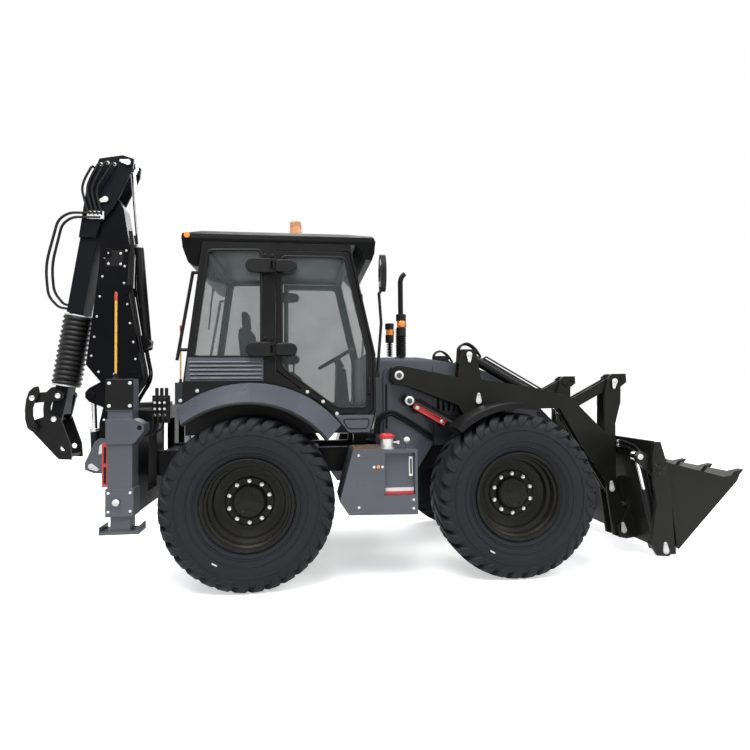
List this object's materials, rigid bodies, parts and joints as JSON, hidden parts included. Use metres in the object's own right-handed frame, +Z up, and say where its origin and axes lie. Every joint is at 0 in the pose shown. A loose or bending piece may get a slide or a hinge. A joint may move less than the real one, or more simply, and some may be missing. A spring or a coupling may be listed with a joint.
{
  "type": "backhoe loader",
  "caption": "Wheeled backhoe loader with a glazed cab, front loader arms with a clam bucket, and a folded side-shift backhoe with a telescopic dipper and quick hitch.",
  "frame": {"origin": "on the ground under the middle of the whole length and width", "axes": "+X forward, +Y to the machine's left, +Z up"},
  "size_m": [6.319, 2.36, 3.83],
  "materials": {
    "frame_black": "satin black paint",
    "body_grey": "gloss blue-grey paint",
    "arm_olive": "satin olive-black paint",
    "wheel_black": "satin black paint",
    "tyre": "matt rubber",
    "glass": "tinted",
    "seat_cloth": "woven",
    "black_plastic": "grained",
    "rod_chrome": "polished",
    "bellows_rubber": "matt",
    "amber_lens": "clear amber",
    "engine_iron": "as cast"
  },
  "bodies": {
    "chassis": {"frame": "frame_black", "towers": "body_grey", "rear_axle": "frame_black", "front_axle": "frame_black", "engine": "engine_iron", "hood": "body_grey", "cab_frame": "frame_black", "roof": "frame_black", "cab_panes": "glass", "seat": "seat_cloth", "console": "black_plastic", "fenders": "body_grey", "side_tanks": "body_grey", "exhaust": "frame_black", "lamps": "amber_lens", "lamp_holders": "black_plastic", "mirrors": "black_plastic", "leg_housings": "body_grey"},
    "right_door": {"door_r": "frame_black", "door_pane_r": "glass"},
    "left_door": {"door_l": "frame_black", "door_pane_l": "glass"},
    "right_knuckle": {"knuckle_r": "frame_black"},
    "left_knuckle": {"knuckle_l": "frame_black"},
    "wheel_fr": {"rim_fr": "wheel_black", "tyre_fr": "tyre"},
    "wheel_fl": {"rim_fl": "wheel_black", "tyre_fl": "tyre"},
    "wheel_rr": {"rim_rr": "wheel_black", "tyre_rr": "tyre"},
    "wheel_rl": {"rim_rl": "wheel_black", "tyre_rl": "tyre"},
    "arms": {"loader_arms": "arm_olive"},
    "lift_barrel": {"lift_barrels": "frame_black"},
    "lift_rod": {"lift_rods": "rod_chrome"},
    "tilt_barrel": {"tilt_barrels": "frame_black"},
    "tilt_rod": {"tilt_rods": "rod_chrome"},
    "rocker": {"rockers": "arm_olive"},
    "link": {"links": "arm_olive"},
    "bucket": {"bucket_back": "arm_olive"},
    "jaw": {"clam": "arm_olive"},
    "clam_barrel": {"clam_barrels": "frame_black"},
    "clam_rod": {"clam_rods": "rod_chrome"},
    "carriage": {"carriage": "frame_black"},
    "kingpost": {"kingpost": "body_grey"},
    "boom": {"boom": "frame_black"},
    "boom_barrel": {"boom_barrel": "frame_black"},
    "boom_rod": {"boom_rod": "rod_chrome"},
    "dipper": {"dipper": "body_grey"},
    "dipper_barrel": {"dipper_barrel": "frame_black"},
    "dipper_rod": {"dipper_rod": "rod_chrome"},
    "inner": {"dipper_inner": "body_grey", "bellows": "bellows_rubber"},
    "tip_lever": {"tip_lever": "frame_black"},
    "tip_link": {"tip_link": "frame_black"},
    "hitch": {"hitch": "frame_black"},
    "right_leg": {"leg_r": "body_grey"},
    "left_leg": {"leg_l": "body_grey"}
  },
  "joints": [
    {"name": "spin_rear_right", "type": "hinge", "parent": "chassis", "child": "wheel_rr", "pos_m": [-1.1045, -0.93, 0.692], "axis": [0, 1, 0], "continuous": true},
    {"name": "spin_rear_left", "type": "hinge", "parent": "chassis", "child": "wheel_rl", "pos_m": [-1.1045, 0.93, 0.692], "axis": [0, 1, 0], "continuous": true},
    {"name": "steer_right", "type": "hinge", "parent": "chassis", "child": "right_knuckle", "pos_m": [1.1155, -0.76, 0.692], "axis": [0, 0, 1], "range_deg": [-25, 25]},
    {"name": "steer_left", "type": "hinge", "parent": "chassis", "child": "left_knuckle", "pos_m": [1.1155, 0.76, 0.692], "axis": [0, 0, 1], "range_deg": [-25, 25]},
    {"name": "spin_front_right", "type": "hinge", "parent": "right_knuckle", "child": "wheel_fr", "pos_m": [1.1155, -0.93, 0.692], "axis": [0, 1, 0], "continuous": true},
    {"name": "spin_front_left", "type": "hinge", "parent": "left_knuckle", "child": "wheel_fl", "pos_m": [1.1155, 0.93, 0.692], "axis": [0, 1, 0], "continuous": true},
    {"name": "door_right", "type": "hinge", "parent": "chassis", "child": "right_door", "pos_m": [-0.9085, -0.824, 2], "axis": [0, 0, -1], "range_deg": [0, 85]},
    {"name": "door_left", "type": "hinge", "parent": "chassis", "child": "left_door", "pos_m": [-0.9085, 0.824, 2], "axis": [0, 0, 1], "range_deg": [0, 85]},
    {"name": "loader_lift", "type": "hinge", "parent": "chassis", "child": "arms", "pos_m": [0.1955, 0, 1.72], "axis": [0, -1, 0], "range_deg": [-3, 74]},
    {"name": "lift_barrel_pivot", "type": "hinge", "parent": "chassis", "child": "lift_barrel", "pos_m": [0.2925, 0, 1.488], "axis": [0, -1, 0], "range_deg": [-5, 85]},
    {"name": "lift_rod_slide", "type": "slide", "parent": "lift_barrel", "child": "lift_rod", "axis": [0.8709, 0, -0.4915], "range_m": [-0.03, 0.32]},
    {"name": "bucket_tilt", "type": "hinge", "parent": "arms", "child": "bucket", "pos_m": [2.3435, 0, 0.24], "axis": [0, 1, 0], "range_deg": [0, 88]},
    {"name": "rocker_pivot", "type": "hinge", "parent": "arms", "child": "rocker", "pos_m": [2.2875, 0, 1.654], "axis": [0, -1, 0], "range_deg": [-1, 60]},
    {"name": "link_pivot", "type": "hinge", "parent": "rocker", "child": "link", "pos_m": [1.7735, 0, 1.387], "axis": [0, 1, 0], "range_deg": [-1, 60]},
    {"name": "tilt_barrel_pivot", "type": "hinge", "parent": "arms", "child": "tilt_barrel", "pos_m": [0.8565, 0, 1.911], "axis": [0, -1, 0], "range_deg": [-8, 8]},
    {"name": "tilt_rod_slide", "type": "slide", "parent": "tilt_barrel", "child": "tilt_rod", "axis": [0.8682, 0, -0.4961], "range_m": [-0.02, 0.6]},
    {"name": "clam_open", "type": "hinge", "parent": "bucket", "child": "jaw", "pos_m": [2.3255, 0, 0.899], "axis": [0, -1, 0], "range_deg": [0, 55]},
    {"name": "clam_barrel_pivot", "type": "hinge", "parent": "bucket", "child": "clam_barrel", "pos_m": [2.3735, 0, 0.206], "axis": [0, -1, 0], "range_deg": [-4, 12]},
    {"name": "clam_rod_slide", "type": "slide", "parent": "clam_barrel", "child": "clam_rod", "axis": [-0.2327, 0, 0.9725], "range_m": [-0.2, 0.02]},
    {"name": "side_shift", "type": "slide", "parent": "chassis", "child": "carriage", "axis": [0, 1, 0], "range_m": [-0.45, 0.45]},
    {"name": "swing", "type": "hinge", "parent": "carriage", "child": "kingpost", "pos_m": [-2.3345, 0, 0.85], "axis": [0, 0, 1], "range_deg": [-80, 80]},
    {"name": "boom_lower", "type": "hinge", "parent": "kingpost", "child": "boom", "pos_m": [-2.5245, 0, 1.08], "axis": [0, -1, 0], "range_deg": [0, 70]},
    {"name": "boom_barrel_pivot", "type": "hinge", "parent": "kingpost", "child": "boom_barrel", "pos_m": [-2.6245, 0, 0.9], "axis": [0, -1, 0], "range_deg": [-5, 80]},
    {"name": "boom_rod_slide", "type": "slide", "parent": "boom_barrel", "child": "boom_rod", "axis": [-0.0379, 0, 0.9993], "range_m": [-0.45, 0.05]},
    {"name": "dipper_open", "type": "hinge", "parent": "boom", "child": "dipper", "pos_m": [-2.5045, 0, 3.4], "axis": [0, 1, 0], "range_deg": [0, 100]},
    {"name": "dipper_barrel_pivot", "type": "hinge", "parent": "boom", "child": "dipper_barrel", "pos_m": [-2.1645, 0, 2.05], "axis": [0, 1, 0], "range_deg": [-15, 15]},
    {"name": "dipper_rod_slide", "type": "slide", "parent": "dipper_barrel", "child": "dipper_rod", "axis": [-0.0816, 0, 0.9967], "range_m": [-0.75, 0.05]},
    {"name": "dipper_extend", "type": "slide", "parent": "dipper", "child": "inner", "axis": [-0.1644, 0, -0.9864], "range_m": [0, 0.65]},
    {"name": "hitch_open", "type": "hinge", "parent": "inner", "child": "hitch", "pos_m": [-2.9485, 0, 1.344], "axis": [0, 1, 0], "range_deg": [0, 90]},
    {"name": "tip_lever_pivot", "type": "hinge", "parent": "inner", "child": "tip_lever", "pos_m": [-2.9045, 0, 1.56], "axis": [0, 1, 0], "range_deg": [-5, 85]},
    {"name": "tip_link_pivot", "type": "hinge", "parent": "tip_lever", "child": "tip_link", "pos_m": [-3.1145, 0, 1.54], "axis": [0, 1, 0], "range_deg": [-90, 90]},
    {"name": "leg_right", "type": "slide", "parent": "chassis", "child": "right_leg", "axis": [0, 0, -1], "range_m": [0, 0.5]},
    {"name": "leg_left", "type": "slide", "parent": "chassis", "child": "left_leg", "axis": [0, 0, -1], "range_m": [0, 0.5]}
  ],
  "couplings": [
    {"joint": "steer_left", "follows": "steer_right", "ratio": 1},
    {"joint": "lift_barrel_pivot", "follows": "loader_lift", "ratio": 1.0958},
    {"joint": "lift_rod_slide", "follows": "loader_lift", "m_per_rad": 0.22211},
    {"joint": "rocker_pivot", "follows": "bucket_tilt", "ratio": 0.55752},
    {"joint": "link_pivot", "follows": "bucket_tilt", "ratio": 0.38466},
    {"joint": "tilt_barrel_pivot", "follows": "bucket_tilt", "ratio": -0.05263},
    {"joint": "tilt_rod_slide", "follows": "bucket_tilt", "m_per_rad": 0.30814},
    {"joint": "clam_barrel_pivot", "follows": "clam_open", "ratio": 0.11215},
    {"joint": "clam_rod_slide", "follows": "clam_open", "m_per_rad": -0.14639},
    {"joint": "boom_barrel_pivot", "follows": "boom_lower", "ratio": 0.79504},
    {"joint": "boom_rod_slide", "follows": "boom_lower", "m_per_rad": -0.15667},
    {"joint": "dipper_barrel_pivot", "follows": "dipper_open", "ratio": 0.0929},
    {"joint": "dipper_rod_slide", "follows": "dipper_open", "m_per_rad": -0.3483},
    {"joint": "tip_lever_pivot", "follows": "hitch_open", "ratio": 0.84154},
    {"joint": "tip_link_pivot", "follows": "hitch_open", "ratio": -0.75274}
  ]
}
